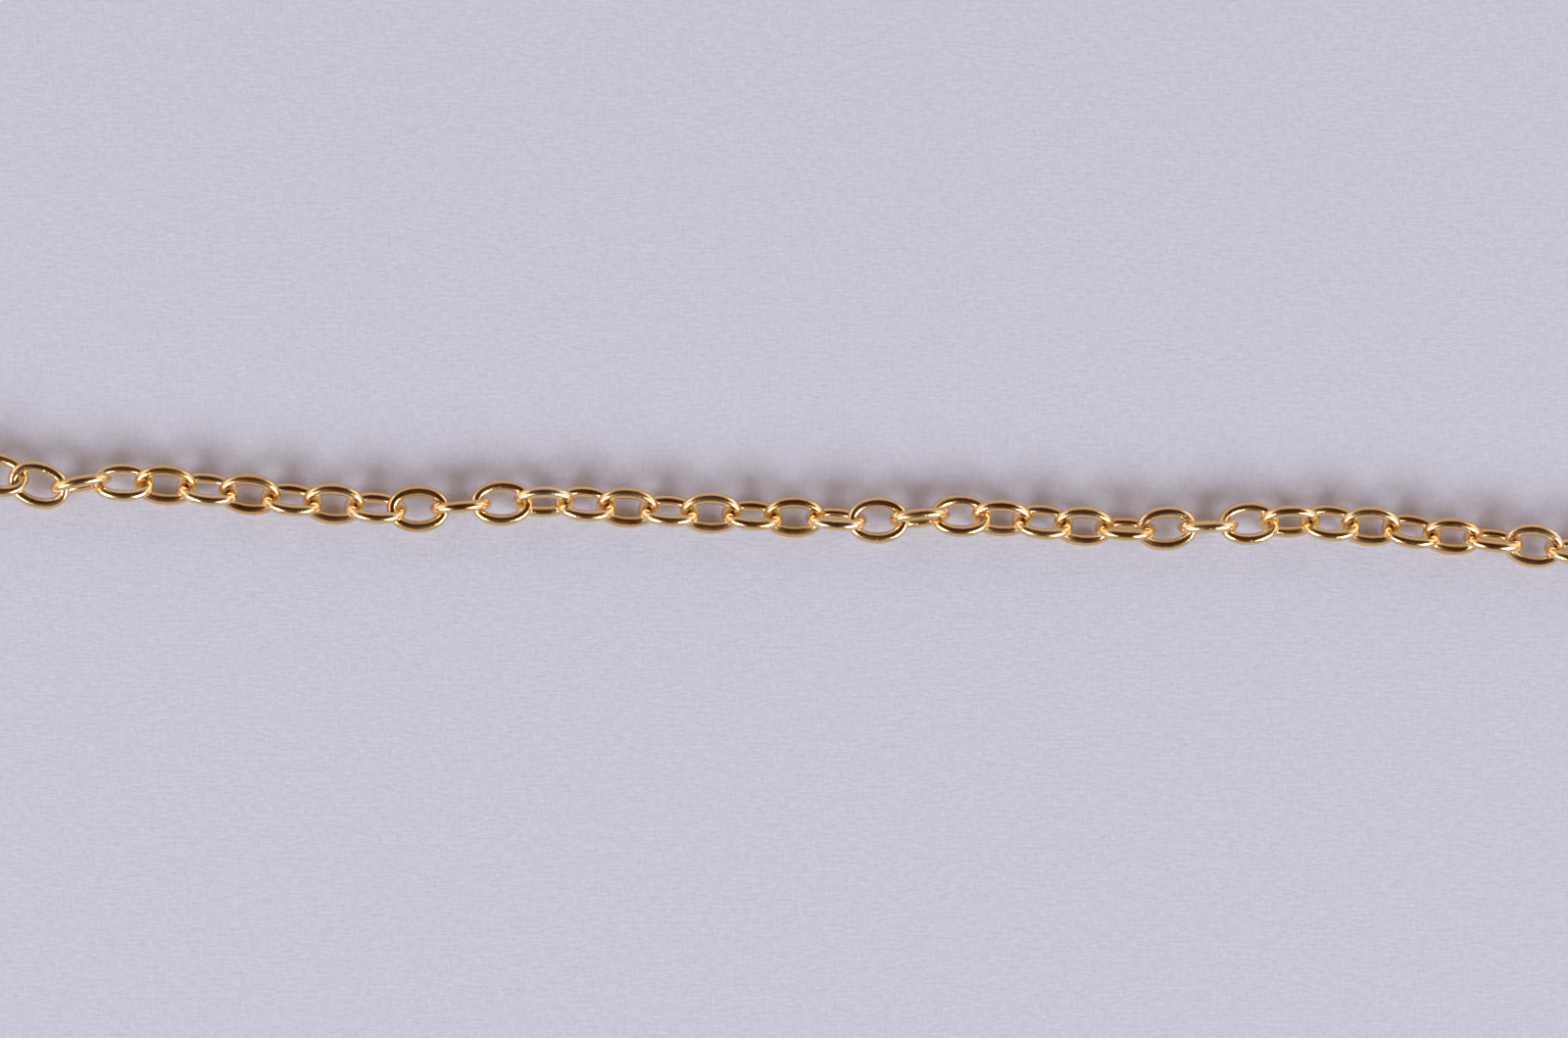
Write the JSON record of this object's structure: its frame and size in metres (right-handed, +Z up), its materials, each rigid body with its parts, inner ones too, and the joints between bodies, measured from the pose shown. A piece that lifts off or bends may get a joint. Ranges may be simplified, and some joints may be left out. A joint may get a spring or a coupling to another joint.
{
  "type": "chain anklet",
  "caption": "Fine gold cable-chain anklet, closed into one loop by a jump ring and a spring-ring clasp, lying flat.",
  "frame": {"origin": "middle of the loop's bounding box, on the surface that the anklet lies on", "axes": "+X along the loop's longest extent, to the right with the clasp side nearest; +Y from the clasp towards the long side of the loop; +Z up from the surface"},
  "size_m": [0.1003, 0.0511, 0.0033],
  "materials": {
    "chain": "polished gold plate",
    "fittings": "polished gold plate"
  },
  "bodies": {
    "root": {"chain": "chain", "jump_ring": "fittings", "clasp": "fittings"}
  },
  "joints": []
}
